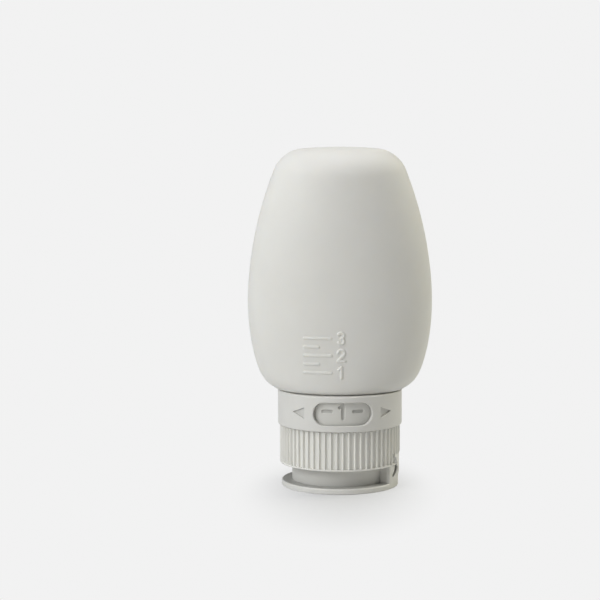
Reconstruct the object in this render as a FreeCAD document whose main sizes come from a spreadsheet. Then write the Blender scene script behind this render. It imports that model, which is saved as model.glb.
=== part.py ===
import FreeCAD
import Part
import Sketcher
import math
import os
import re

# Squeezable travel bottle that stands upside down on its flip lid. Millimetres, +Z up,
# origin at the middle of the lid's underside, hinge towards +X, window towards -Y.

SIZES = {
    # Flip lid, from the table upwards
    "lid_height": 6.7,
    "rim_step": 0.5,
    "flange_width": 3.1,
    "flange_thickness": 1.7,
    "flange_round": 0.5,
    "flange_foot_round": 0.2,
    "drum_wall": 1.4,
    "lid_floor": 1.9,
    "plug_wall": 1.0,
    "plug_reach": 1.3,
    "plug_clearance": 0.3,
    # Living hinge
    "block_angle": 68,
    "block_round": 0.9,
    "strap_angle": 53,
    "strap_height": 6.5,
    "strap_thickness": 0.6,
    "strap_notch_depth": 2.6,
    "strap_notch_radius": 3.1,
    "strap_side_gap": 0.2,
    "lid_relief": 0.7,
    "strap_back_gap": 0.15,
    "film_thickness": 0.35,
    "film_height": 1.0,
    "film_slope": 0.5,
    # Screw cap
    "parting_gap": 0.1,
    "cap_height": 11.4,
    "cap_plate": 1.5,
    "cap_wall": 1.5,
    "rim_height": 0.55,
    "rim_round": 0.4,
    "rib_height": 0.7,
    "rib_width": 0.28,
    "rib_shoulder": 0.56,
    "rib_foot": 0.76,
    "rib_count": 62,
    "spigot_height": 1.0,
    "spigot_wall": 1.2,
    "spigot_clearance": 0.3,
    "boss_wall": 1.0,
    # Drip valve and its snap ring
    "valve_share": 0.4165,
    "valve_seat": 2.6,
    "valve_thickness": 1.0,
    "membrane_margin": 0.4,
    "membrane_thickness": 0.5,
    "slit_share": 0.7,
    "slit_width": 0.2,
    "valve_play": 0.15,
    "retainer_thickness": 1.1,
    "retainer_margin": 0.2,
    # Screw thread, right-hand
    "thread_pitch": 3.0,
    "thread_depth": 0.8,
    "thread_root": 1.6,
    "thread_crest": 0.9,
    "thread_lead_in": 0.2,
    "thread_run_out": 1.0,
    "thread_clearance": 0.3,
    "thread_sink": 0.25,
    # Threaded neck ring
    "neck_ring_wall": 1.3,
    "neck_flange_thickness": 1.0,
    "flange_gap": 0.2,
    "key_width": 2.0,
    "key_height": 0.7,
    "key_length": 3.0,
    "key_play": 0.15,
    "key_count": 3,
    # Label ring
    "ring_play": 0.15,
    "ring_thickness": 2.2,
    # Window collar
    "collar_step": 1.65,
    "collar_height": 10.35,
    "collar_wall": 1.3,
    "collar_play": 0.2,
    "collar_lip_width": 3.05,
    "collar_lip_thickness": 0.9,
    "collar_round": 0.35,
    "window_height": 6.75,
    "window_span": 34.6,
    "window_yaw": 2.8,
    "window_rise": 0.1,
    "window_round": 0.25,
    "arrow_angle": 44.1,
    "arrow_length": 4.4,
    "arrow_height": 3.3,
    "arrow_depth": 0.5,
    # Silicone bottle
    "shoulder_gap": 0.1,
    "shoulder_overhang": 0.3,
    "body_width": 54.3,
    "body_depth": 33.4,
    "body_length": 71.15,
    "body_wall": 2.7,
    "base_wall": 3.0,
    "shoulder_round": 2.4,
    "base_round_share": 0.2994,
    "neck_wall": 2.0,
    "neck_fit": 0.1,
    "lip_width": 1.2,
    "lip_thickness": 1.2,
    "lip_gap": 0.1,
    # Cuts run past the solid by this much
    "overrun": 1.0,
}

# Sections of the bottle from shoulder to base, for the wall before its two ends are rounded:
# height along the body, how much of the shoulder's and of the greatest width each section
# takes, and its share of the greatest depth.
section_height_share = (0.0, 0.01, 0.028, 0.055, 0.11, 0.23, 0.365, 0.5, 0.65, 0.8, 0.9, 1.0)
section_shoulder_share = (1.0, 0.86, 0.658, 0.482, 0.289, 0.072, 0.0, 0.0, 0.0, 0.0, 0.0, 0.0)
section_width_share = (0.0, 0.14, 0.342, 0.518, 0.711, 0.928, 1.0, 0.979, 0.916, 0.812, 0.72, 0.614)
section_depth_share = (0.975, 0.98, 0.985, 0.989, 0.995, 1.0, 1.0, 0.99, 0.955, 0.89, 0.83, 0.755)

# Heights that follow from the sizes, from the table upwards
parting = "(lid_height + parting_gap / 2)"
cap_bottom = "(lid_height + parting_gap)"
cap_top = f"({cap_bottom} + cap_height)"
rim_top = f"({cap_bottom} + rim_height)"
plate_top = f"({cap_bottom} + cap_plate)"
valve_top = f"({plate_top} + valve_thickness)"
retainer_top = f"({valve_top} + retainer_thickness)"
lip_bottom = f"({plate_top} + lip_gap)"
lip_top = f"({lip_bottom} + lip_thickness)"
flange_bottom = f"({cap_top} + flange_gap)"
flange_top = f"({flange_bottom} + neck_flange_thickness)"
collar_top = f"({flange_bottom} + collar_height)"
collar_lip = f"({collar_top} - collar_lip_thickness)"
ring_top = f"({collar_lip} - collar_play / 2)"
window_middle = f"(({flange_bottom} + {collar_top}) / 2 + window_rise)"
shoulder = f"({collar_top} + shoulder_gap)"
strap_bottom = f"({parting} - strap_height / 2)"
strap_top = f"({parting} + strap_height / 2)"

# Radii that follow from the body's depth: the collar stands out past it in front, the neck's
# rings sit inside one another, and the cap, lid and valve fit the neck.
collar_radius = "(body_depth / 2 + collar_step)"
collar_bore = f"({collar_radius} - collar_wall)"
collar_lip_radius = f"({collar_radius} - collar_lip_width)"
ring_radius = f"({collar_bore} - collar_play)"
ring_bore = f"({ring_radius} - ring_thickness)"
neck_ring_radius = f"({ring_bore} - ring_play)"
neck_ring_bore = f"({neck_ring_radius} - neck_ring_wall)"
neck_radius = f"({neck_ring_bore} - neck_fit)"
neck_bore = f"({neck_radius} - neck_wall)"
lip_radius = f"({neck_radius} + lip_width)"
cap_bore = f"({neck_ring_radius} + thread_depth + thread_clearance)"
rib_root = f"({cap_bore} + cap_wall)"
cap_radius = f"({rib_root} + rib_height)"
flange_radius = f"({cap_radius} - rim_step)"
drum_radius = f"({flange_radius} - flange_width)"
spigot_radius = f"({drum_radius} - drum_wall - spigot_clearance)"
strap_back = f"({flange_radius} - strap_thickness)"
recess_floor = f"({strap_back} - strap_back_gap)"
notch_offset = f"({flange_radius} * sin(strap_angle / 2) - strap_notch_depth + strap_notch_radius)"
valve_radius = f"({collar_radius} * valve_share)"
boss_radius = f"({valve_radius} + valve_play)"
boss_outside = f"({boss_radius} + boss_wall)"
outlet_radius = f"({valve_radius} - valve_seat)"
plug_radius = f"({outlet_radius} - plug_clearance)"
membrane_radius = f"({outlet_radius} - membrane_margin)"
slit_length = f"(2 * {membrane_radius} * slit_share)"
retainer_bore = f"({outlet_radius} + retainer_margin)"
base_round = "(body_depth * base_round_share)"

# Screw thread: starts half a pitch apart, so that the two ridges pass each other
male_start = f"({lip_top} + thread_root / 2 + thread_lead_in)"
male_turns = f"(({flange_bottom} - thread_run_out - thread_root / 2 - {male_start}) / thread_pitch)"
female_start = f"({male_start} + thread_pitch / 2)"
female_turns = f"(({cap_top} - thread_run_out - thread_root / 2 - {female_start}) / thread_pitch)"
female_crest = f"({neck_ring_radius} + thread_clearance)"

doc = FreeCAD.newDocument("TravelBottle")
sheet = doc.addObject("Spreadsheet::Sheet", "Sizes")
for row, (alias, number) in enumerate(SIZES.items(), start=1):
    sheet.set(f"A{row}", alias)
    sheet.set(f"B{row}", str(number))
    sheet.setAlias(f"B{row}", alias)
doc.recompute()


def value(formula):
    """Number that a formula in the sheet's aliases comes to now."""
    return float(sheet.evalExpression(formula))


def bind(thing, prop, formula):
    """Drive a property by a formula in the sheet's aliases."""
    named = re.sub(r"[a-z_]{3,}", lambda word: with_sheet(word.group()), formula)
    thing.setExpression(prop, named)


def with_sheet(word):
    return f"Sizes.{word}" if word in SIZES else word


def new_body(label):
    body = doc.addObject("PartDesign::Body", label)
    body.Label = label
    return body


def origin_feature(body, role):
    return next(item for item in body.Origin.OriginFeatures if item.Role == role)


def new_sketch(body, name, role="XZ_Plane", turn=None, outwards=None, lift=None):
    """Sketch on an origin plane, turned about Z, moved outwards or lifted by formulas."""
    sketch = body.newObject("Sketcher::SketchObject", name)
    sketch.AttachmentSupport = (origin_feature(body, role), [""])
    sketch.MapMode = "FlatFace"
    if turn is not None:
        upright = FreeCAD.Vector(0, 1, 0)
        turned = FreeCAD.Rotation(upright, value(turn))
        sketch.AttachmentOffset = FreeCAD.Placement(FreeCAD.Vector(), turned)
        bind(sketch, "AttachmentOffset.Rotation.Angle", turn)
    if outwards is not None:
        bind(sketch, "AttachmentOffset.Base.x", f"{outwards} * sin({turn})")
        bind(sketch, "AttachmentOffset.Base.z", f"{outwards} * cos({turn})")
    if lift is not None:
        bind(sketch, "AttachmentOffset.Base.z", lift)
    return sketch


def fix_point(sketch, geometry, vertex, place):
    """Hold a sketch point at (x, y) formulas measured from the sketch's origin."""
    for formula, kind, axis in zip(place, ("DistanceX", "DistanceY"), (-2, -1)):
        number = value(formula)
        if formula == "0":
            held = Sketcher.Constraint("PointOnObject", geometry, vertex, axis)
            sketch.addConstraint(held)
        elif number > 0:
            held = Sketcher.Constraint(kind, -1, 1, geometry, vertex, number)
            bind(sketch, f"Constraints[{sketch.addConstraint(held)}]", formula)
        else:
            held = Sketcher.Constraint(kind, geometry, vertex, -1, 1, -number)
            bind(sketch, f"Constraints[{sketch.addConstraint(held)}]", f"-({formula})")


def draw_outline(sketch, corners):
    """Closed outline of straight sides through corners given as (x, y) formulas."""
    places = [FreeCAD.Vector(value(x), value(y), 0) for x, y in corners]
    count = len(corners)
    for side in range(count):
        sketch.addGeometry(Part.LineSegment(places[side], places[(side + 1) % count]))
    for side in range(count):
        join = Sketcher.Constraint("Coincident", side, 2, (side + 1) % count, 1)
        sketch.addConstraint(join)
    for side, corner in enumerate(corners):
        fix_point(sketch, side, 1, corner)


def draw_circle(sketch, centre, radius):
    """Circle with its centre and radius given as formulas."""
    middle = FreeCAD.Vector(value(centre[0]), value(centre[1]), 0)
    upwards = FreeCAD.Vector(0, 0, 1)
    circle = sketch.addGeometry(Part.Circle(middle, upwards, value(radius)))
    size = Sketcher.Constraint("Radius", circle, value(radius))
    bind(sketch, f"Constraints[{sketch.addConstraint(size)}]", radius)
    fix_point(sketch, circle, 3, centre)


def turn_profile(body, name, corners, kind="Revolution", angle=None):
    """Solid or groove of revolution about Z, whole or a sector centred on +X."""
    sketch = new_sketch(body, f"{name}_profile")
    draw_outline(sketch, corners)
    feature = body.newObject(f"PartDesign::{kind}", name)
    feature.Profile = sketch
    feature.ReferenceAxis = (sketch, ["V_Axis"])
    if angle is None:
        feature.Angle = 360
    else:
        feature.Midplane = True
        bind(feature, "Angle", angle)
    doc.recompute()
    return feature


def cut_outwards(body, name, sketch, length):
    """Pocket from the sketch's plane away from the axis."""
    before = body.Shape.Volume
    pocket = body.newObject("PartDesign::Pocket", name)
    pocket.Profile = sketch
    pocket.Reversed = True
    bind(pocket, "Length", length)
    doc.recompute()
    if body.Shape.Volume >= before:
        raise RuntimeError(f"{name} cuts nothing")
    return pocket


def repeat_round(body, name, feature, count):
    """Copies of a feature spread evenly about Z."""
    pattern = body.newObject("PartDesign::PolarPattern", name)
    pattern.Originals = [feature]
    pattern.Axis = (origin_feature(body, "Z_Axis"), [""])
    pattern.Angle = 360
    bind(pattern, "Occurrences", count)
    body.Tip = pattern
    doc.recompute()
    return pattern


def add_thread(body, name, start, root, crest, turns):
    """Right-hand thread ridge from its root radius to its crest radius."""
    sink = "thread_sink" if value(crest) > value(root) else "-thread_sink"
    foot = f"({root} - {sink})"
    sketch = new_sketch(body, f"{name}_profile")
    draw_outline(sketch, (
        (foot, f"{start} - thread_root / 2"),
        (crest, f"{start} - thread_crest / 2"),
        (crest, f"{start} + thread_crest / 2"),
        (foot, f"{start} + thread_root / 2"),
    ))
    helix = body.newObject("PartDesign::AdditiveHelix", name)
    helix.Profile = sketch
    helix.ReferenceAxis = (sketch, ["V_Axis"])
    helix.Mode = "pitch-turns-angle"
    bind(helix, "Pitch", "thread_pitch")
    bind(helix, "Turns", turns)
    doc.recompute()
    return helix


def round_edges(body, name, radius, chosen):
    """Fillet the edges of the body that the test picks."""
    base = body.Tip
    picked = [f"Edge{i}" for i, edge in enumerate(base.Shape.Edges, start=1) if chosen(edge)]
    if not picked:
        raise RuntimeError(f"{name} finds no edge")
    fillet = body.newObject("PartDesign::Fillet", name)
    fillet.Base = (base, picked)
    bind(fillet, "Radius", radius)
    doc.recompute()
    return fillet


def ring_edge(radius, height):
    """Test for an edge round the Z axis at a radius and height given as formulas."""
    wanted_radius = value(radius)
    wanted_height = value(height)

    def chosen(edge):
        if not isinstance(edge.Curve, Part.Circle):
            return False
        close_radius = math.isclose(edge.Curve.Radius, wanted_radius, abs_tol=1e-4)
        close_height = math.isclose(edge.Curve.Center.z, wanted_height, abs_tol=1e-4)
        return close_radius and close_height
    return chosen


def window_edge(edge):
    """Test for an edge of the window on the collar's outside."""
    for point in edge.discretize(5):
        out = math.hypot(point.x, point.y) - value(collar_radius)
        up = abs(point.z - value(window_middle)) - value("window_height / 2")
        if abs(out) > 1e-3 or up > 1e-3:
            return False
    return True


def block_edge(edge):
    """Test for an upright outer edge of the hinge block."""
    ends = [vertex.Point for vertex in edge.Vertexes]
    outside = value(flange_radius)
    upright = abs(ends[0].z - ends[-1].z) > value("flange_thickness")
    outer = all(math.isclose(math.hypot(end.x, end.y), outside, abs_tol=1e-4) for end in ends)
    return upright and outer


def combine(body, name, kind, tool):
    """Fuse or cut the body with another one, as its next feature."""
    before = body.Shape.Volume
    boolean = body.newObject("PartDesign::Boolean", name)
    boolean.Type = kind
    boolean.setObjects([tool])
    body.Tip = boolean
    doc.recompute()
    if math.isclose(body.Shape.Volume, before, abs_tol=1e-3):
        raise RuntimeError(f"{name} changes nothing")
    return boolean


def cut_recess(body, outside, bottom, top, relief):
    """Let the hinge strap into a moulding, which fills the strap's notches."""
    label = body.Label
    tool = new_body(f"{label}_recess")
    turn_profile(tool, f"{label}_recess_sector", (
        (recess_floor, bottom),
        (outside, bottom),
        (outside, top),
        (recess_floor, top),
    ), angle="strap_angle")
    sketch = new_sketch(tool, f"{label}_fillings", role="YZ_Plane")
    offset = f"({notch_offset} + {relief})"
    draw_circle(sketch, (offset, parting), "strap_notch_radius - strap_side_gap")
    draw_circle(sketch, (f"-{offset}", parting), "strap_notch_radius - strap_side_gap")
    cut_outwards(tool, f"{label}_filling_cut", sketch, f"{outside} + overrun")
    combine(body, "strap_recess", "Cut", tool)


def make_flip_lid():
    """Lid with base flange, drum, outlet plug and hinge block."""
    body = new_body("flip_lid")
    plug_top = f"({cap_bottom} + plug_reach)"
    turn_profile(body, "shell", (
        ("0", "0"),
        (flange_radius, "0"),
        (flange_radius, "flange_thickness"),
        (drum_radius, "flange_thickness"),
        (drum_radius, "lid_height"),
        (f"{drum_radius} - drum_wall", "lid_height"),
        (f"{drum_radius} - drum_wall", "lid_floor"),
        (plug_radius, "lid_floor"),
        (plug_radius, plug_top),
        (f"{plug_radius} - plug_wall", plug_top),
        (f"{plug_radius} - plug_wall", "lid_floor"),
        ("0", "lid_floor"),
    ))
    for height, radius in (("0", "flange_foot_round"), ("flange_thickness", "flange_round")):
        round_edges(body, "flange_edge", radius, ring_edge(flange_radius, height))
    block = new_body("hinge_block")
    turn_profile(block, "block", (
        (f"{drum_radius} - drum_wall / 2", "0"),
        (f"{flange_radius} - flange_foot_round", "0"),
        (flange_radius, "flange_foot_round"),
        (flange_radius, "lid_height"),
        (f"{drum_radius} - drum_wall / 2", "lid_height"),
    ), angle="block_angle")
    round_edges(block, "block_corner", "block_round", block_edge)
    combine(body, "block_join", "Fuse", block)
    cut_recess(body, f"{flange_radius} + overrun", strap_bottom, "lid_height + overrun", "lid_relief")
    return body


def make_screw_cap():
    """Ribbed cap with outlet, spigot for the lid, valve boss and inner thread."""
    body = new_body("screw_cap")
    turn_profile(body, "cap_shell", (
        (outlet_radius, cap_bottom),
        (f"{spigot_radius} - spigot_wall", cap_bottom),
        (f"{spigot_radius} - spigot_wall", f"{cap_bottom} - spigot_height"),
        (spigot_radius, f"{cap_bottom} - spigot_height"),
        (spigot_radius, cap_bottom),
        (cap_radius, cap_bottom),
        (cap_radius, rim_top),
        (rib_root, rim_top),
        (rib_root, cap_top),
        (cap_bore, cap_top),
        (cap_bore, plate_top),
        (boss_outside, plate_top),
        (boss_outside, retainer_top),
        (boss_radius, retainer_top),
        (boss_radius, plate_top),
        (outlet_radius, plate_top),
    ))
    round_edges(body, "rim_edge", "rim_round", ring_edge(cap_radius, cap_bottom))
    sketch = new_sketch(body, "rib_section", role="XY_Plane", lift=rim_top)
    foot = f"({rib_root} - rib_height / 2)"
    shoulder_radius = f"({rib_root} + rib_height / 2)"
    draw_outline(sketch, (
        (foot, "-rib_foot / 2"),
        (shoulder_radius, "-rib_shoulder / 2"),
        (cap_radius, "-rib_width / 2"),
        (cap_radius, "rib_width / 2"),
        (shoulder_radius, "rib_shoulder / 2"),
        (foot, "rib_foot / 2"),
    ))
    rib = body.newObject("PartDesign::Pad", "rib")
    rib.Profile = sketch
    bind(rib, "Length", f"{cap_top} - {rim_top}")
    doc.recompute()
    repeat_round(body, "ribs", rib, "rib_count")
    cut_recess(body, f"{cap_radius} + overrun", f"{cap_bottom} - overrun", strap_top, "0")
    add_thread(body, "inner_thread", female_start, cap_bore, female_crest, female_turns)
    return body


def make_hinge_strap():
    """Butterfly living hinge, thinned to a film at the parting plane."""
    body = new_body("hinge_strap")
    film_back = f"({flange_radius} - film_thickness)"
    turn_profile(body, "strap", (
        (strap_back, strap_bottom),
        (flange_radius, strap_bottom),
        (flange_radius, strap_top),
        (strap_back, strap_top),
        (strap_back, f"{parting} + film_height / 2 + film_slope"),
        (film_back, f"{parting} + film_height / 2"),
        (film_back, f"{parting} - film_height / 2"),
        (strap_back, f"{parting} - film_height / 2 - film_slope"),
    ), angle="strap_angle")
    sketch = new_sketch(body, "waist", role="YZ_Plane")
    draw_circle(sketch, (notch_offset, parting), "strap_notch_radius")
    draw_circle(sketch, (f"-{notch_offset}", parting), "strap_notch_radius")
    cut_outwards(body, "waist_cut", sketch, f"{flange_radius} + overrun")
    return body


def make_drip_valve():
    """Silicone disc with a thin middle cut by a cross slit."""
    body = new_body("drip_valve")
    membrane_bottom = f"({plate_top} + (valve_thickness - membrane_thickness) / 2)"
    membrane_top = f"({membrane_bottom} + membrane_thickness)"
    turn_profile(body, "disc", (
        ("0", membrane_bottom),
        (membrane_radius, membrane_bottom),
        (membrane_radius, plate_top),
        (valve_radius, plate_top),
        (valve_radius, valve_top),
        (membrane_radius, valve_top),
        (membrane_radius, membrane_top),
        ("0", membrane_top),
    ))
    for name, along, across in (("slit_x", slit_length, "slit_width"),
                                ("slit_y", "slit_width", slit_length)):
        sketch = new_sketch(body, f"{name}_section", role="XY_Plane")
        draw_outline(sketch, (
            (f"-{along} / 2", f"-{across} / 2"),
            (f"{along} / 2", f"-{across} / 2"),
            (f"{along} / 2", f"{across} / 2"),
            (f"-{along} / 2", f"{across} / 2"),
        ))
        cut_outwards(body, name, sketch, f"{valve_top} + overrun")
    return body


def make_valve_retainer():
    """Snap ring over the valve's edge."""
    body = new_body("valve_retainer")
    turn_profile(body, "ring", (
        (retainer_bore, valve_top),
        (valve_radius, valve_top),
        (valve_radius, retainer_top),
        (retainer_bore, retainer_top),
    ))
    return body


def make_threaded_neck():
    """Rigid ring on the silicone neck: thread below, flange, keys for the label ring above."""
    body = new_body("threaded_neck")
    turn_profile(body, "neck_ring", (
        (neck_ring_bore, lip_top),
        (neck_ring_radius, lip_top),
        (neck_ring_radius, flange_bottom),
        (ring_radius, flange_bottom),
        (ring_radius, flange_top),
        (neck_ring_radius, flange_top),
        (neck_ring_radius, collar_top),
        (neck_ring_bore, collar_top),
    ))
    crest = f"({neck_ring_radius} + thread_depth)"
    add_thread(body, "outer_thread", male_start, neck_ring_radius, crest, male_turns)
    sketch = new_sketch(body, "key_section", role="XY_Plane", lift=flange_top)
    draw_outline(sketch, (
        (f"{neck_ring_radius} - neck_ring_wall / 2", "-key_width / 2"),
        (f"{neck_ring_radius} + key_height", "-key_width / 2"),
        (f"{neck_ring_radius} + key_height", "key_width / 2"),
        (f"{neck_ring_radius} - neck_ring_wall / 2", "key_width / 2"),
    ))
    key = body.newObject("PartDesign::Pad", "key")
    key.Profile = sketch
    bind(key, "Length", "key_length")
    doc.recompute()
    repeat_round(body, "keys", key, "key_count")
    return body


def make_label_ring():
    """Ring behind the window, held by keys from turning."""
    body = new_body("label_ring")
    turn_profile(body, "ring", (
        (ring_bore, flange_top),
        (ring_radius, flange_top),
        (ring_radius, ring_top),
        (ring_bore, ring_top),
    ))
    sketch = new_sketch(body, "slot_section", role="XY_Plane", lift=flange_top)
    slot_floor = f"{neck_ring_radius} + key_height + key_play"
    draw_outline(sketch, (
        (f"{ring_bore} - overrun", "-key_width / 2 - key_play"),
        (slot_floor, "-key_width / 2 - key_play"),
        (slot_floor, "key_width / 2 + key_play"),
        (f"{ring_bore} - overrun", "key_width / 2 + key_play"),
    ))
    slot = cut_outwards(body, "slot", sketch, "key_length + key_play")
    repeat_round(body, "slots", slot, "key_count")
    return body


def make_window_collar():
    """Turning collar; built with its window towards +X, then turned to the front."""
    body = new_body("window_collar")
    turn_profile(body, "collar_shell", (
        (collar_bore, flange_bottom),
        (collar_radius, flange_bottom),
        (collar_radius, collar_top),
        (collar_lip_radius, collar_top),
        (collar_lip_radius, collar_lip),
        (collar_bore, collar_lip),
    ))
    for height in (flange_bottom, collar_top):
        edge = ring_edge(collar_radius, height)
        round_edges(body, "collar_edge", "collar_round", edge)
    end_radius = "(window_height / 2)"
    turn_profile(body, "window_middle", (
        (f"{collar_bore} - overrun", f"{window_middle} - window_height / 2"),
        (f"{collar_radius} + overrun", f"{window_middle} - window_height / 2"),
        (f"{collar_radius} + overrun", f"{window_middle} + window_height / 2"),
        (f"{collar_bore} - overrun", f"{window_middle} + window_height / 2"),
    ), kind="Groove", angle="window_span")
    for side in (1, -1):
        sketch = new_sketch(body, "window_end", role="YZ_Plane", turn=f"{side} * window_span / 2")
        draw_circle(sketch, ("0", window_middle), end_radius)
        cut_outwards(body, "window_end_cut", sketch, f"{collar_radius} + overrun")
    round_edges(body, "window_edge", "window_round", window_edge)
    for side in (1, -1):
        sketch = new_sketch(body, "arrow", role="YZ_Plane", turn=f"{side} * arrow_angle",
                            outwards=f"({collar_radius} - arrow_depth)")
        draw_outline(sketch, (
            (f"-{side} * arrow_length / 2", f"{window_middle} - arrow_height / 2"),
            (f"{side} * arrow_length / 2", window_middle),
            (f"-{side} * arrow_length / 2", f"{window_middle} + arrow_height / 2"),
        ))
        cut_outwards(body, "arrow_cut", sketch, "overrun")
    front = FreeCAD.Rotation(FreeCAD.Vector(0, 0, 1), value("window_yaw") - 90)
    body.Placement = FreeCAD.Placement(FreeCAD.Vector(), front)
    return body


def loft_sections(name, inset, bottom, top):
    """Smooth solid through the bottle's oval sections, inset by a wall."""
    ovals = []
    shoulder_half = f"({collar_radius} + shoulder_overhang)"
    shares = zip(section_height_share, section_shoulder_share, section_width_share, section_depth_share)
    for height, narrow, wide, depth in shares:
        oval = doc.addObject("Part::Ellipse", f"{name}_section")
        half_width = f"{shoulder_half} * {narrow} + body_width / 2 * {wide}"
        bind(oval, "MajorRadius", f"{half_width} - {inset}")
        bind(oval, "MinorRadius", f"body_depth / 2 * {depth} - {inset}")
        bind(oval, "Placement.Base.z", f"{bottom} + ({top} - {bottom}) * {height}")
        ovals.append(oval)
    doc.recompute()
    loft = doc.addObject("Part::Loft", name)
    loft.Sections = ovals
    loft.Solid = True
    doc.recompute()
    return loft


def round_ends(name, loft, radius_at):
    """Round end edges of the loft; radius_at pairs the height of an end with its radius."""
    rounded = doc.addObject("Part::Fillet", name)
    rounded.Base = loft
    edges = []
    for height, radius in radius_at:
        for number, edge in enumerate(loft.Shape.Edges, start=1):
            heights = [vertex.Z for vertex in edge.Vertexes]
            if all(math.isclose(one, value(height), abs_tol=1e-4) for one in heights):
                edges.append((number, value(radius), value(radius)))
    rounded.Edges = edges
    doc.recompute()
    return rounded


def make_bottle_body():
    """Hollow silicone bottle with its neck and the lip that seals in the cap."""
    body_top = f"({shoulder} + body_length)"
    inner_bottom = f"({shoulder} + body_wall)"
    inner_top = f"({body_top} - base_wall)"
    outer = loft_sections("bottle_outside", "0", shoulder, body_top)
    outer = round_ends("bottle_outside_round", outer,
                       ((shoulder, "shoulder_round"), (body_top, base_round)))
    inner = loft_sections("bottle_inside", "body_wall", inner_bottom, inner_top)
    inner = round_ends("bottle_inside_round", inner, ((inner_top, f"{base_round} - base_wall"),))
    neck = new_body("bottle_neck")
    turn_profile(neck, "neck", (
        ("0", lip_bottom),
        (lip_radius, lip_bottom),
        (lip_radius, lip_top),
        (neck_radius, lip_top),
        (neck_radius, inner_bottom),
        ("0", inner_bottom),
    ))
    bore = doc.addObject("Part::Cylinder", "bottle_bore")
    bind(bore, "Radius", neck_bore)
    bind(bore, "Height", f"{inner_bottom} - {lip_bottom} + 2 * overrun")
    bind(bore, "Placement.Base.z", f"{lip_bottom} - overrun")
    filled = doc.addObject("Part::Fuse", "bottle_filled")
    filled.Base = outer
    filled.Tool = neck
    hollow = doc.addObject("Part::Fuse", "bottle_hollow")
    hollow.Base = inner
    hollow.Tool = bore
    body = doc.addObject("Part::Cut", "bottle_body")
    body.Label = "bottle_body"
    body.Base = filled
    body.Tool = hollow
    doc.recompute()
    return body


pieces = [
    make_flip_lid(),
    make_hinge_strap(),
    make_screw_cap(),
    make_drip_valve(),
    make_valve_retainer(),
    make_threaded_neck(),
    make_label_ring(),
    make_window_collar(),
    make_bottle_body(),
]
doc.recompute()

for item in doc.Objects:
    if "Invalid" in item.State or "Error" in item.State:
        raise RuntimeError(f"{item.Label} failed: {item.State}")
for piece in pieces:
    if piece.Shape.isNull() or not piece.Shape.isValid() or len(piece.Shape.Solids) != 1:
        raise RuntimeError(f"{piece.Label} has no valid solid")

os.makedirs("parts", exist_ok=True)
for piece in pieces:
    piece.Shape.exportStep(os.path.join("parts", f"{piece.Label}.step"))
    print(piece.Label, round(piece.Shape.Volume, 1), "mm3")
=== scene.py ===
import math

import bpy
import numpy as np
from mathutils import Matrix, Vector


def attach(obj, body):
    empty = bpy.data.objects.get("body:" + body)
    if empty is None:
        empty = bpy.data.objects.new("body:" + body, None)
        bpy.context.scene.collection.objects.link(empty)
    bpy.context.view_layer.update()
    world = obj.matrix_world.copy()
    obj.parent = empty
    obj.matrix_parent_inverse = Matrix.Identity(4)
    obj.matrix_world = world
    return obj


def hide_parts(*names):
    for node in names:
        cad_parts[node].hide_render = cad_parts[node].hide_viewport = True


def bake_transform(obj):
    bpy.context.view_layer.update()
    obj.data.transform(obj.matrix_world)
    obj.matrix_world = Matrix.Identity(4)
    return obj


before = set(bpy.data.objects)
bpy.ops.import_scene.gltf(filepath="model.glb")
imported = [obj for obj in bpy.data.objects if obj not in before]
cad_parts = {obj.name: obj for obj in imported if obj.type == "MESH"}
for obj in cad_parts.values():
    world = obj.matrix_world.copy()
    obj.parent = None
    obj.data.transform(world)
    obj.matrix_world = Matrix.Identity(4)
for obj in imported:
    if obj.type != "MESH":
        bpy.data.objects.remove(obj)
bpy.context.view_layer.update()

# The travel bottle in metres, standing on its lid: hinge towards +X, window towards -Y
MM = 0.001
scene = bpy.context.scene

# Camera as in the photograph: in front, a little above, looking along +Y and slightly down
PIXELS = 600
PIXELS_PER_MM = 3.387
SHIFT_PIXELS = (-39.9, 16.6)
SENSOR_WIDTH = 36.0
eye = Vector((0.0, -0.6, 0.121))
aim = Vector((0.0, 0.0, 0.05))
lens = bpy.data.cameras.new("camera")
lens.sensor_width = SENSOR_WIDTH
lens.lens = SENSOR_WIDTH * PIXELS_PER_MM / MM * (aim - eye).length / PIXELS
lens.shift_x = SHIFT_PIXELS[0] / PIXELS
lens.shift_y = SHIFT_PIXELS[1] / PIXELS
camera = bpy.data.objects.new("camera", lens)
camera.location = eye
camera.rotation_euler = (aim - eye).to_track_quat("-Z", "Y").to_euler()
scene.collection.objects.link(camera)
scene.camera = camera


# Shader nodes

def node_link(tree, start, out, end, into):
    tree.links.new(start.outputs[out], end.inputs[into])


def noise(tree, coordinates, size_mm, detail):
    """Noise whose features are about size_mm across."""
    texture = tree.nodes.new("ShaderNodeTexNoise")
    texture.inputs["Scale"].default_value = 1.0 / (size_mm * MM)
    texture.inputs["Detail"].default_value = detail
    node_link(tree, coordinates, "Object", texture, "Vector")
    return texture


def map_range(tree, start, out, low, high, to_low=0.0, to_high=1.0):
    """Node that turns a value between low and high into one between to_low and to_high."""
    node = tree.nodes.new("ShaderNodeMapRange")
    node.inputs["From Min"].default_value = low
    node.inputs["From Max"].default_value = high
    node.inputs["To Min"].default_value = to_low
    node.inputs["To Max"].default_value = to_high
    node_link(tree, start, out, node, "Value")
    return node


def vector_math(tree, operation, start, out):
    """Node that works on another node's vector."""
    node = tree.nodes.new("ShaderNodeVectorMath")
    node.operation = operation
    node_link(tree, start, out, node, "Vector")
    return node


def colour_ramp(tree, start, out, stops):
    """Node that turns a value into a colour; each stop is a value and its colour."""
    node = tree.nodes.new("ShaderNodeValToRGB")
    elements = node.color_ramp.elements
    elements.remove(elements[1])
    elements[0].position = stops[0][0]
    elements[0].color = (*stops[0][1], 1.0)
    for position, colour in stops[1:]:
        elements.new(position).color = (*colour, 1.0)
    node_link(tree, start, out, node, "Fac")
    return node


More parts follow.
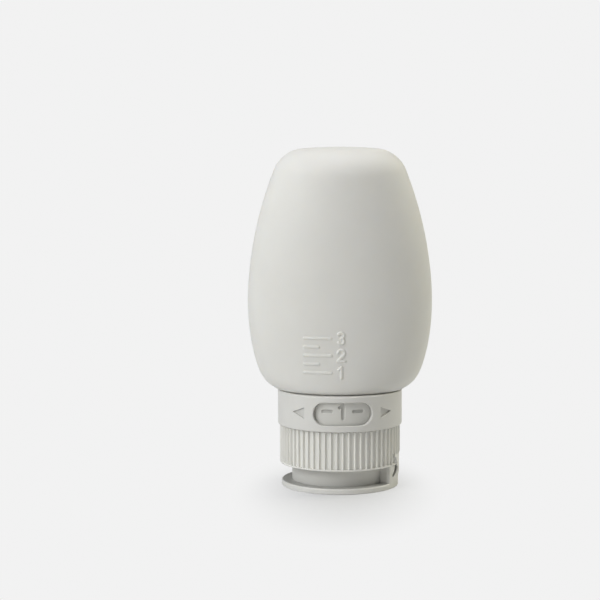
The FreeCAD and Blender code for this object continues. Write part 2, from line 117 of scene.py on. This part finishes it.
def mix_shaders(tree, start, out, first, second):
    """Node that goes from the first shader to the second while a value goes from 0 to 1."""
    mix = tree.nodes.new("ShaderNodeMixShader")
    node_link(tree, start, out, mix, "Fac")
    node_link(tree, first, 0, mix, 1)
    node_link(tree, second, 0, mix, 2)
    return mix


# Materials
MOTTLE_MM = 9.0
SMEAR_MM = 2.5
GLOSS_SPREAD = 0.06
# Soft edges of the painted shade: by radius in millimetres, and by the depth attribute
SUNK_SHADE_EDGE_MM = 0.1
INNER_SHADE_EDGE = (0.25, 0.4)
SOFT_COLOUR = (1.0, 0.85, 0.65)
SOFT_DEPTH_MM = 2.0


def moulded(name, pale, mottle, roughness, grain_mm, grain_depth_mm, soft=0.0, sheen=0.0, sunk=None,
            foot=None, inner_shade=None):
    """Moulded plastic or rubber: faint mottling, uneven gloss and a fine grain.

    sunk is a radius round Z in millimetres and the painted shade of what lies deeper than it.
    foot is heights in millimetres with the painted shade at each, in place of the one shade of sunk.
    inner_shade is the painted shade of a piece's inner side, where its depth attribute is one.
    """
    material = bpy.data.materials.new(name)
    material.use_nodes = True
    tree = material.node_tree
    shader = tree.nodes["Principled BSDF"]
    place = tree.nodes.new("ShaderNodeTexCoord")

    deep = [part - mottle for part in pale]
    cloud = noise(tree, place, MOTTLE_MM, detail=3.0)
    clouded = colour_ramp(tree, cloud, "Fac", ((0.3, deep), (0.7, pale)))
    tint = vector_math(tree, "SCALE", clouded, "Color")
    tint.inputs["Scale"].default_value = 1.0
    node_link(tree, tint, "Vector", shader, "Base Color")
    # Painted shade: the colour is darkened on what lies deeper than the sunk radius
    if sunk:
        edge_mm, dark = sunk
        flat = vector_math(tree, "MULTIPLY", place, "Object")
        flat.inputs[1].default_value = (1.0, 1.0, 0.0)
        radius = vector_math(tree, "LENGTH", flat, "Vector")
        shade = map_range(tree, radius, "Value", (edge_mm - SUNK_SHADE_EDGE_MM) * MM, edge_mm * MM, dark)
        node_link(tree, shade, "Result", tint, "Scale")
        # Painted shade that changes with height, darkest in a corner
        if foot:
            top_mm = foot[-1][0]
            axes = tree.nodes.new("ShaderNodeSeparateXYZ")
            node_link(tree, place, "Object", axes, "Vector")
            rise = map_range(tree, axes, "Z", 0.0, top_mm * MM)
            stops = [(height_mm / top_mm, (grey, grey, grey)) for height_mm, grey in foot]
            bands = colour_ramp(tree, rise, "Result", stops)
            node_link(tree, bands, "Color", shade, "To Min")
    # Painted shade on a piece's inner side
    if inner_shade:
        depth = tree.nodes.new("ShaderNodeAttribute")
        depth.attribute_name = "depth"
        shade = map_range(tree, depth, "Fac", *INNER_SHADE_EDGE, 1.0, inner_shade)
        node_link(tree, shade, "Result", tint, "Scale")

    smear = noise(tree, place, SMEAR_MM, detail=4.0)
    gloss = map_range(tree, smear, "Fac", 0.0, 1.0, roughness - GLOSS_SPREAD, roughness + GLOSS_SPREAD)
    node_link(tree, gloss, "Result", shader, "Roughness")

    grain = noise(tree, place, grain_mm, detail=2.0)
    bump = tree.nodes.new("ShaderNodeBump")
    bump.inputs["Strength"].default_value = 1.0
    bump.inputs["Distance"].default_value = grain_depth_mm * MM
    node_link(tree, grain, "Fac", bump, "Height")
    node_link(tree, bump, "Normal", shader, "Normal")

    shader.inputs["Specular IOR Level"].default_value = 0.4
    shader.inputs["Subsurface Weight"].default_value = soft
    shader.inputs["Subsurface Radius"].default_value = SOFT_COLOUR
    shader.inputs["Subsurface Scale"].default_value = SOFT_DEPTH_MM * MM
    shader.inputs["Sheen Weight"].default_value = sheen
    shader.inputs["Sheen Roughness"].default_value = 0.5
    return material


silicone = moulded(
    "silicone", (0.70, 0.69, 0.655), mottle=0.015, roughness=0.58,
    grain_mm=0.35, grain_depth_mm=0.004, soft=0.25, sheen=0.06,
)
valve_rubber = moulded(
    "valve_silicone", (0.66, 0.65, 0.61), mottle=0.03, roughness=0.5,
    grain_mm=0.3, grain_depth_mm=0.004, soft=0.3,
)
# The lid's plastic is a darker copy of the cap's, painted shade for the lid under the cap; what lies
# deeper than its rim is painted darker still, deepening towards the drum's foot where it stands on the
# flange
lid_plastic = moulded(
    "lid_plastic", (0.68, 0.67, 0.635), mottle=0.015, roughness=0.42,
    grain_mm=0.25, grain_depth_mm=0.003, soft=0.06, sunk=(17.1, 0.92),
    foot=((1.4, 0.92), (1.55, 0.6), (1.72, 0.6), (1.85, 0.79), (4.0, 0.92)),
)
rib_plastic = moulded(
    "rib_plastic", (0.755, 0.745, 0.705), mottle=0.015, roughness=0.42,
    grain_mm=0.25, grain_depth_mm=0.003, soft=0.06,
)
# The strap's inner side is painted darker, as shade between the strap and the cap and lid beside it
hinge_plastic = moulded(
    "hinge_plastic", (0.76, 0.75, 0.715), mottle=0.015, roughness=0.42,
    grain_mm=0.25, grain_depth_mm=0.003, soft=0.06, inner_shade=0.5,
)
# The arrows are sunk into the collar, and the digits into the ring; what lies deeper than each surface
# is painted darker, as shade in the recesses
collar_plastic = moulded(
    "collar_plastic", (0.645, 0.635, 0.605), mottle=0.015, roughness=0.4,
    grain_mm=0.25, grain_depth_mm=0.003, soft=0.06, sunk=(18.2, 0.9),
)
ring_plastic = moulded(
    "ring_plastic", (0.64, 0.63, 0.595), mottle=0.02, roughness=0.5,
    grain_mm=0.22, grain_depth_mm=0.004, soft=0.04, sunk=(16.7, 0.74),
)
neck_plastic = moulded(
    "neck_plastic", (0.64, 0.63, 0.60), mottle=0.02, roughness=0.45,
    grain_mm=0.25, grain_depth_mm=0.003, soft=0.05,
)

for node, material in (
    ("window_collar", collar_plastic),
    ("screw_cap", rib_plastic),
    ("flip_lid", lid_plastic),
    ("threaded_neck", neck_plastic),
    ("valve_retainer", neck_plastic),
):
    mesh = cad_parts[node].data
    mesh.materials.clear()
    mesh.materials.append(material)


# Helpers for meshes; their lengths are millimetres until the mesh is made

def make_piece(name, points, faces, material):
    """Smooth object from points in millimetres."""
    mesh = bpy.data.meshes.new(name)
    mesh.from_pydata([tuple(p) for p in np.asarray(points) * MM], [], faces)
    mesh.polygons.foreach_set("use_smooth", [True] * len(mesh.polygons))
    mesh.materials.append(material)
    mesh.validate()
    piece = bpy.data.objects.new(name, mesh)
    scene.collection.objects.link(piece)
    return piece


def ring_at(wide, deep, turns, z):
    """Points of a circle or oval round Z at one height."""
    return np.stack((wide * np.cos(turns), deep * np.sin(turns), np.full_like(turns, z)), axis=-1)


def grid_faces(rows, columns, closed_rows):
    """Quads between rings of points; the first and last ring join if closed_rows."""
    faces = []
    for row in range(rows if closed_rows else rows - 1):
        low = row * columns
        high = (row + 1) % rows * columns
        for one in range(columns):
            two = (one + 1) % columns
            faces.append((low + one, low + two, high + two, high + one))
    return faces


def pole_faces(pole, ring_start, columns, flip):
    """Triangles from a ring of points to one point at its middle."""
    faces = []
    for one in range(columns):
        two = (one + 1) % columns
        side = (ring_start + one, ring_start + two)
        faces.append((pole, *(side[::-1] if flip else side)))
    return faces


def sheet_faces(start, rows, columns):
    """Closed skin of a sheet: a grid of points for its front, then one for its back."""
    back = rows * columns
    faces = []
    for row in range(rows - 1):
        for one in range(columns - 1):
            low = start + row * columns + one
            faces.append((low, low + 1, low + columns + 1, low + columns))
            high = low + back
            faces.append((high, high + columns, high + columns + 1, high + 1))
        low = start + row * columns
        faces.append((low, low + columns, low + back + columns, low + back))
        low += columns - 1
        faces.append((low, low + back, low + back + columns, low + columns))
    for one in range(columns - 1):
        low = start + one
        faces.append((low, low + back, low + back + 1, low + 1))
        low += back - columns
        faces.append((low, low + 1, low + back + 1, low + back))
    return faces


def smooth_step(value):
    value = np.clip(value, 0.0, 1.0)
    return value * value * (3.0 - 2.0 * value)


def cubic(xs, ys):
    """Natural cubic spline through points, as a function."""
    xs = np.asarray(xs, float)
    ys = np.asarray(ys, float)
    gap = np.diff(xs)
    slope = np.diff(ys) / gap
    matrix = np.eye(len(xs))
    right = np.zeros(len(xs))
    for i in range(1, len(xs) - 1):
        matrix[i, i - 1:i + 2] = gap[i - 1], 2.0 * (gap[i - 1] + gap[i]), gap[i]
        right[i] = 6.0 * (slope[i] - slope[i - 1])
    bend = np.linalg.solve(matrix, right)

    def at(x):
        i = np.clip(np.searchsorted(xs, x) - 1, 0, len(gap) - 1)
        left = x - xs[i]
        rest = xs[i + 1] - x
        curve = (bend[i] * rest ** 3 + bend[i + 1] * left ** 3) / (6.0 * gap[i])
        line = (ys[i] / gap[i] - bend[i] * gap[i] / 6.0) * rest
        return curve + line + (ys[i + 1] / gap[i] - bend[i + 1] * gap[i] / 6.0) * left
    return at


# Raised and sunk marks, as strokes in millimetres

def arc(centre, radius, first, last, steps=14):
    turns = np.radians(np.linspace(first, last, steps))
    return [(centre[0] + radius * math.cos(t), centre[1] + radius * math.sin(t)) for t in turns]


# Plain digits as strokes in a box one high
DIGIT_STROKES = {
    1: [[(0.08, 0.79), (0.33, 1.0), (0.33, 0.0)]],
    2: [arc((0.3, 0.71), 0.29, 165, -38) + [(0.0, 0.0), (0.62, 0.0)]],
    3: [arc((0.29, 0.75), 0.25, 150, -90), arc((0.29, 0.25), 0.25, 90, -150)],
    4: [[(0.47, 0.0), (0.47, 1.0), (0.0, 0.27), (0.66, 0.27)]],
}


def digit(number, left, bottom, height):
    return [[(left + height * x, bottom + height * y) for x, y in stroke]
            for stroke in DIGIT_STROKES[number]]


def stroke_distance(x, y, strokes):
    """Distance from points to the nearest stroke."""
    nearest = np.full(np.shape(x), np.inf)
    for stroke in strokes:
        for (x0, y0), (x1, y1) in zip(stroke[:-1], stroke[1:]):
            dx, dy = x1 - x0, y1 - y0
            along = ((x - x0) * dx + (y - y0) * dy) / (dx * dx + dy * dy)
            along = np.clip(along, 0.0, 1.0)
            away = np.hypot(x - x0 - along * dx, y - y0 - along * dy)
            nearest = np.minimum(nearest, away)
    return nearest


def relief(x, y, strokes, width, edge):
    """1 on the strokes, 0 away from them, with a soft edge."""
    return smooth_step((width / 2 + edge / 2 - stroke_distance(x, y, strokes)) / edge)


# Silicone bottle: oval sections between shoulder and base, as in the CAD model
SHOULDER_Z = 28.85
BASE_Z = 100.0
HALF_WIDTH = 27.15
HALF_DEPTH = 16.7
SECTION_HEIGHTS = (0.0, 0.01, 0.028, 0.055, 0.11, 0.23, 0.365, 0.5, 0.65, 0.8, 0.9, 1.0)
SECTION_WIDTHS = (0.687, 0.731, 0.794, 0.849, 0.909, 0.977, 1.0, 0.979, 0.916, 0.812, 0.72, 0.614)
SECTION_DEPTHS = (0.975, 0.98, 0.985, 0.989, 0.995, 1.0, 1.0, 0.99, 0.955, 0.89, 0.83, 0.755)
CROWN = 0.4
CROWN_TILT = 4.0
BASE_ROUND = 10.0
SIDE_FOOT_ROUND = 2.4
FRONT_FOOT_ROUND = 1.2

# Neck and mouth lip, as radius and height: down the outside, round the lip, up the inside
NECK_ROWS = (
    (13.1, SHOULDER_Z), (13.1, 27.0), (13.1, 18.0), (13.1, 9.75), (13.2, 9.6), (14.1, 9.6), (14.3, 9.4),
    (14.3, 8.6), (14.1, 8.4), (11.3, 8.4), (11.1, 8.6), (11.1, 18.0), (11.1, 29.6),
)
WALL = 2.7
HOLLOW_LOW_Z = 31.55
HOLLOW_HIGH_Z = 97.0
HOLLOW_ROUND = 7.0

# Fill-level marks on the front, where rows and columns of points lie close together
MARKS_LOW_Z = 32.8
MARKS_HIGH_Z = 48.0
MARKS_HALF_ANGLE = 28.0
LEVEL_START_Z = 30.6
LEVEL_STEP = 5.0
LINE_LEFT = -10.2
LONG_LINE_RIGHT = -2.6
SHORT_LINE_RIGHT = -6.2
LEVEL_DIGIT_LEFT = -0.6
LEVEL_DIGIT_HEIGHT = 3.2
MARK_HEIGHT = 0.32


def rounded_corner(radius_at, end_z, round_radius, steps, upper, stop=90.0):
    """Arc between a wall and a flat end: its points, and where it meets the wall."""
    samples, halvings = 3000, 60
    sign = 1.0 if upper else -1.0
    heights = end_z - sign * np.linspace(0.0, 3.0 * round_radius, samples)
    walls = radius_at(heights)
    centre_z = end_z - sign * round_radius
    low, high = 0.0, float(walls.max())
    for _ in range(halvings):
        middle = (low + high) / 2
        reach = np.hypot(walls - middle, heights - centre_z).min()
        low, high = (middle, high) if reach > round_radius else (low, middle)
    touch = int(np.hypot(walls - low, heights - centre_z).argmin())
    first = math.degrees(math.atan2(sign * (heights[touch] - centre_z), walls[touch] - low))
    turns = np.radians(np.linspace(first, stop, steps))
    points = [(low + round_radius * math.cos(t), centre_z + sign * round_radius * math.sin(t))
              for t in turns]
    return points, heights[touch]


def bottle_profile(half_size, shares, foot_round):
    """Outside of the bottle in one plane, from the middle of the base to the neck's foot."""
    span = BASE_Z - SHOULDER_Z
    curve = cubic(SECTION_HEIGHTS, shares)

    def radius_at(z):
        return half_size * curve((z - SHOULDER_Z) / span)
    top, wall_top = rounded_corner(radius_at, BASE_Z - CROWN, BASE_ROUND, steps=16, upper=True,
                                   stop=90.0 - CROWN_TILT)
    foot, wall_foot = rounded_corner(radius_at, SHOULDER_Z, foot_round, steps=9, upper=False)
    edge, edge_z = top[-1]
    crown = [(edge * s, edge_z + (BASE_Z - edge_z) * (1.0 - s * s)) for s in np.linspace(0.06, 0.94, 12)]
    rows = np.concatenate((
        np.linspace(wall_top, MARKS_HIGH_Z, 34, endpoint=False)[1:],
        np.linspace(MARKS_HIGH_Z, MARKS_LOW_Z, 100, endpoint=False),
        np.linspace(MARKS_LOW_Z, wall_foot, 14)[:-1],
    ))
    wall = [(float(radius_at(z)), float(z)) for z in rows]
    return np.array(crown + top[::-1] + wall + foot)


def front_columns(half_angle, fine, coarse):
    """Angles round Z, close together towards -Y."""
    near = np.arange(-half_angle, half_angle, fine)
    count = int((360.0 - 2.0 * half_angle) / coarse)
    far = np.linspace(half_angle, 360.0 - half_angle, count, endpoint=False)
    return np.radians(np.concatenate((near, far)) - 90.0)


def level_marks():
    """Fill-level lines with plain digits, upright while the bottle stands on its lid."""
    strokes = []
    for number in (1, 2, 3):
        height = LEVEL_START_Z + LEVEL_STEP * number
        strokes.append([(LINE_LEFT, height), (LONG_LINE_RIGHT, height)])
        strokes += digit(number, LEVEL_DIGIT_LEFT, height - LEVEL_DIGIT_HEIGHT / 2, LEVEL_DIGIT_HEIGHT)
        if number < 3:
            between = height + LEVEL_STEP / 2
            strokes.append([(LINE_LEFT, between), (SHORT_LINE_RIGHT, between)])
    return strokes


def hollow_rows():
    """Inside of the bottle, as half width, half depth and height, closing in a rounded end."""
    width_at = cubic(SECTION_HEIGHTS, SECTION_WIDTHS)
    depth_at = cubic(SECTION_HEIGHTS, SECTION_DEPTHS)
    round_z = HOLLOW_HIGH_Z - HOLLOW_ROUND
    rows = []
    for share in np.linspace(0.02, 1.0, 20):
        z = HOLLOW_LOW_Z + (HOLLOW_HIGH_Z - HOLLOW_LOW_Z) * share
        section = (z - SHOULDER_Z) / (BASE_Z - SHOULDER_Z)
        rounding = max(0.0, (z - round_z) / HOLLOW_ROUND)
        inset = HOLLOW_ROUND * (1.0 - math.sqrt(max(0.0, 1.0 - rounding ** 2)))
        wide = float(width_at(section)) * HALF_WIDTH - WALL - inset
        deep = float(depth_at(section)) * HALF_DEPTH - WALL - inset
        rows.append((wide, deep, z))
    return rows + [(wide * s, deep * s, HOLLOW_HIGH_Z) for s in (0.7, 0.35)]


def make_bottle():
    side = bottle_profile(HALF_WIDTH, SECTION_WIDTHS, SIDE_FOOT_ROUND)
    front = bottle_profile(HALF_DEPTH, SECTION_DEPTHS, FRONT_FOOT_ROUND)
    turns = front_columns(MARKS_HALF_ANGLE, fine=0.35, coarse=2.5)
    across, deep = np.cos(turns), np.sin(turns)
    outside = np.stack((
        side[:, :1] * across,
        front[:, :1] * deep,
        side[:, 1:] * across ** 2 + front[:, 1:] * deep ** 2,
    ), axis=-1)

    # Marks stand out along the surface's own normal
    down = np.gradient(outside, axis=0)
    around = np.roll(outside, -1, axis=1) - np.roll(outside, 1, axis=1)
    normal = np.cross(around, down)
    normal /= np.linalg.norm(normal, axis=-1, keepdims=True)
    outward = np.sign(np.sum(normal * outside * (1, 1, 0), axis=-1, keepdims=True))
    marks = relief(outside[..., 0], outside[..., 2], level_marks(), width=0.72, edge=0.34)
    marks *= outside[..., 1] < 0.0
    outside = outside + normal * outward * marks[..., None] * MARK_HEIGHT

    neck = [ring_at(radius, radius, turns, z) for radius, z in NECK_ROWS]
    hollow = [ring_at(half_wide, half_deep, turns, z) for half_wide, half_deep, z in hollow_rows()]
    rings = np.concatenate((outside, neck, hollow))
    rows, columns = rings.shape[:2]
    poles = [(0.0, 0.0, BASE_Z), (0.0, 0.0, HOLLOW_HIGH_Z)]
    points = np.concatenate((rings.reshape(-1, 3), poles))
    faces = [face[::-1] for face in grid_faces(rows, columns, closed_rows=False)]
    faces += pole_faces(rows * columns, 0, columns, flip=False)
    faces += pole_faces(rows * columns + 1, (rows - 1) * columns, columns, flip=True)
    bottle = make_piece("silicone_bottle", points, faces, silicone)
    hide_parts("bottle_body")
    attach(bottle, "bottle")


# Label ring behind the window, with a plain digit for each quarter turn
WINDOW_YAW = 2.8


def make_label_ring():
    outer, inner, low, high, bevel = 16.85, 14.65, 19.4, 27.75, 0.25
    key_room, key_top = 15.35, 22.6
    label_half_angle = 26.0
    digit_left, digit_bottom, digit_height = -1.2, 22.4, 3.9
    dash_start, dash_end, dash_z = 3.3, 5.8, 24.35
    mark_depth = 0.4

    near = np.arange(-label_half_angle, label_half_angle, 0.5)
    far = np.linspace(label_half_angle, 90.0 - label_half_angle, 16, endpoint=False)
    quarter = np.concatenate((near, far))
    turns = np.concatenate([quarter + 90.0 * k for k in range(4)])
    label = np.repeat((1, 2, 3, 4), len(quarter))
    angle = np.radians(turns - 90.0 + WINDOW_YAW)
    along = np.radians(turns - 90.0 * (label - 1)) * outer

    heights = np.concatenate(([low + bevel], np.linspace(20.3, 27.0, 46), [high - bevel]))
    profile = [(outer, z) for z in heights]
    profile += [(outer - bevel, high), (inner, high), (inner, key_top), (key_room, key_top),
                (key_room, low), (outer - bevel, low)]
    profile = np.array(profile)
    radius = profile[:, :1] * np.ones(len(angle))
    level = profile[:, 1:] * np.ones(len(angle))
    for number in (1, 2, 3, 4):
        strokes = digit(number, digit_left, digit_bottom, digit_height)
        strokes += [[(side * dash_start, dash_z), (side * dash_end, dash_z)] for side in (-1, 1)]
        here = label == number
        sunk = relief(along[here] * np.ones_like(level[:, here]), level[:, here], strokes,
                      width=0.9, edge=0.25)
        sunk *= radius[:, here] == outer
        radius[:, here] -= mark_depth * sunk

    rings = np.stack((radius * np.cos(angle), radius * np.sin(angle), level), axis=-1)
    rows, columns = rings.shape[:2]
    faces = grid_faces(rows, columns, closed_rows=True)
    ring = make_piece("label_band", rings.reshape(-1, 3), faces, ring_plastic)
    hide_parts("label_ring")
    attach(ring, "bottle")


# Drip valve: rubber disc with a dished middle, slit crosswise
def make_valve():
    columns = 96
    angle = np.radians(np.linspace(0.0, 360.0, columns, endpoint=False))
    profile = [(3.3, 8.62), (4.3, 8.55), (4.6, 8.4), (4.85, 8.3), (7.4, 8.3), (7.6, 8.45), (7.6, 9.15),
               (7.4, 9.3), (4.85, 9.3), (4.6, 9.2), (4.3, 9.05), (3.3, 9.12)]
    points = np.concatenate([ring_at(radius, radius, angle, z) for radius, z in profile])
    faces = grid_faces(len(profile), columns, closed_rows=True)

    # Four petals between the slits
    slit_half, petal_radius, dish = 0.07, 3.34, 0.26
    petal_low, petal_high = 8.36, 8.86
    petal_turns = np.radians(np.linspace(0.0, 90.0, 25))
    reach = np.linspace(0.03, 1.0, 8)
    for quarter in range(4):
        spin = math.radians(90.0 * quarter)
        petal = []
        for height in (petal_low, petal_high):
            for share in reach:
                x = slit_half + (petal_radius - slit_half) * share * np.cos(petal_turns)
                y = slit_half + (petal_radius - slit_half) * share * np.sin(petal_turns)
                z = np.full_like(x, height + dish * share ** 2)
                petal.append(np.stack((x * math.cos(spin) - y * math.sin(spin),
                                       x * math.sin(spin) + y * math.cos(spin), z), axis=-1))
        faces += sheet_faces(len(points), len(reach), len(petal_turns))
        points = np.concatenate((points, *petal))
    valve = make_piece("drip_valve_disc", points, faces, valve_rubber)
    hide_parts("drip_valve")
    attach(valve, "cap")


# Living hinge: two panels and a thin film between them, notched at both sides
def make_strap():
    bottom, film_low, fold, film_high, top = 3.5, 5.8, 6.75, 7.7, 10.0
    strap_radius, panel_back, film_back = 17.3, 16.7, 16.95
    half_width, notch_centre, notch_radius = 7.72, 8.22, 3.1
    # Above the fold the notches are shallower and the lips along them higher
    notch_loss, lip_width, lip_height, lip_gain = 0.42, 1.2, 0.45, 0.15
    outer_at = cubic((3.5, 3.8, 4.6, 5.8, 6.4, 6.75, 7.1, 7.7, 9.0, 9.8, 10.0),
                     (17.5, 17.56, 17.6, 17.6, 17.56, 17.46, 17.56, 17.6, 17.6, 17.56, 17.5))
    heights = np.concatenate((
        np.linspace(bottom, film_low, 14, endpoint=False),
        np.linspace(film_low, film_high, 24, endpoint=False),
        np.linspace(film_high, top, 14),
    ))
    columns = 41
    spread = np.sin(np.linspace(-math.pi / 2, math.pi / 2, columns))

    front, back = [], []
    for z in heights:
        notch = math.sqrt(max(0.0, notch_radius ** 2 - (z - fold) ** 2))
        above = float(smooth_step((z - fold + 1.0) / 2.2))
        reach = min(half_width, notch_centre - notch * (1.0 - notch_loss * above))
        half = math.asin(reach / strap_radius)
        turns = half * spread
        lip = smooth_step(1.0 - (half - abs(turns)) * strap_radius / lip_width)
        radius = float(outer_at(z)) + (lip_height + lip_gain * above) * lip
        front.append(ring_at(radius, radius, turns, z))
        off_film = float(smooth_step((abs(z - fold) - 0.5) / 0.5))
        radius = film_back - (film_back - panel_back) * off_film
        back.append(ring_at(radius, radius, turns, z))
    points = np.concatenate(front + back)
    faces = sheet_faces(0, len(heights), columns)
    strap = make_piece("living_hinge", points, faces, hinge_plastic)
    # The depth attribute marks the strap's inner side for hinge_plastic's painted shade
    depth = strap.data.attributes.new("depth", "FLOAT", "POINT")
    depth.data.foreach_set("value", np.repeat((0.0, 1.0), len(points) // 2))
    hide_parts("hinge_strap")
    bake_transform(strap)


make_bottle()
make_label_ring()
make_valve()
make_strap()


# Pale floor that fades into the background a little way from the lid
BACKGROUND = (0.887, 0.887, 0.887, 1.0)
FLOOR_CORNERS = [(-3, -1.5, 0), (3, -1.5, 0), (3, 4, 0), (-3, 4, 0)]
FLOOR_BOUNCE = (0.72, 0.72, 0.72, 1.0)
# Darker matt that the camera sees near the lid: painted shade that deepens the lamps' shadow there
FLOOR_SHOWN = (0.56, 0.56, 0.56, 1.0)
FADE_OFFSET = (0.0, 0.006, 0.0)
FADE_SCALE = (1.0, 0.45, 1.0)
FADE_END = 0.032
FADE_LEAST = 0.2
WORLD_LIGHT = 0.04

# Square lamps: place, power in watts and colour
LAMP_SIZE = 0.6
LAMPS = {
    "key": ((-0.63, -0.53, 0.525), 6.1, (0.98, 1.0, 1.0)),
    "left": ((-0.795, 0.213, 0.525), 1.2, (0.9, 0.95, 1.0)),
    "top": ((0.0, -0.03, 1.0), 4.5, (0.95, 0.95, 1.0)),
    "front": ((0.0, -0.475, 0.873), 0.7, (1.0, 0.95, 0.9)),
    "rim": ((0.77, 0.28, 0.525), 4.6, (1.0, 0.99, 0.82)),
}


def make_floor():
    """Floor that bounces light as plain matt, and shows the camera only the shadow by the lid, on a
    darker matt there that is painted shade.
    """
    mesh = bpy.data.meshes.new("floor")
    mesh.from_pydata(FLOOR_CORNERS, [], [(0, 1, 2, 3)])
    floor = bpy.data.objects.new("floor", mesh)
    scene.collection.objects.link(floor)
    material = bpy.data.materials.new("floor")
    material.use_nodes = True
    tree = material.node_tree
    matt = tree.nodes["Principled BSDF"]
    matt.inputs["Base Color"].default_value = FLOOR_BOUNCE
    matt.inputs["Roughness"].default_value = 0.8
    matt.inputs["Specular IOR Level"].default_value = 0.1
    near = tree.nodes.new("ShaderNodeBsdfDiffuse")
    near.inputs["Color"].default_value = FLOOR_SHOWN
    glow = tree.nodes.new("ShaderNodeEmission")
    glow.inputs["Color"].default_value = BACKGROUND

    place = tree.nodes.new("ShaderNodeTexCoord")
    oval = tree.nodes.new("ShaderNodeMapping")
    oval.inputs["Location"].default_value = FADE_OFFSET
    oval.inputs["Scale"].default_value = FADE_SCALE
    node_link(tree, place, "Object", oval, "Vector")
    away = vector_math(tree, "LENGTH", oval, "Vector")
    fade = map_range(tree, away, "Value", 0.0, FADE_END, FADE_LEAST)
    fade.interpolation_type = "SMOOTHSTEP"
    shown = mix_shaders(tree, fade, "Result", near, glow)
    path = tree.nodes.new("ShaderNodeLightPath")
    surface = mix_shaders(tree, path, "Is Camera Ray", matt, shown)
    node_link(tree, surface, "Shader", tree.nodes["Material Output"], "Surface")
    mesh.materials.append(material)


def make_world():
    """Dim light from all round, while the camera sees the plain background."""
    world = bpy.data.worlds.new("studio")
    scene.world = world
    world.use_nodes = True
    tree = world.node_tree
    dim = tree.nodes["Background"]
    dim.inputs["Color"].default_value = (1.0, 1.0, 1.0, 1.0)
    dim.inputs["Strength"].default_value = WORLD_LIGHT
    shown = tree.nodes.new("ShaderNodeBackground")
    shown.inputs["Color"].default_value = BACKGROUND
    shown.inputs["Strength"].default_value = 1.0
    path = tree.nodes.new("ShaderNodeLightPath")
    surface = mix_shaders(tree, path, "Is Camera Ray", dim, shown)
    node_link(tree, surface, "Shader", tree.nodes["World Output"], "Surface")


def make_lamp(name, place, power, colour):
    """Square lamp that points at the middle of the bottle."""
    lamp = bpy.data.lights.new(name, "AREA")
    lamp.size = LAMP_SIZE
    lamp.energy = power
    lamp.color = colour
    holder = bpy.data.objects.new(name, lamp)
    holder.location = place
    holder.rotation_euler = (aim - Vector(place)).to_track_quat("-Z", "Y").to_euler()
    scene.collection.objects.link(holder)


make_floor()
make_world()
for name, (place, power, colour) in LAMPS.items():
    make_lamp(name, place, power, colour)
scene.view_settings.view_transform = "Standard"
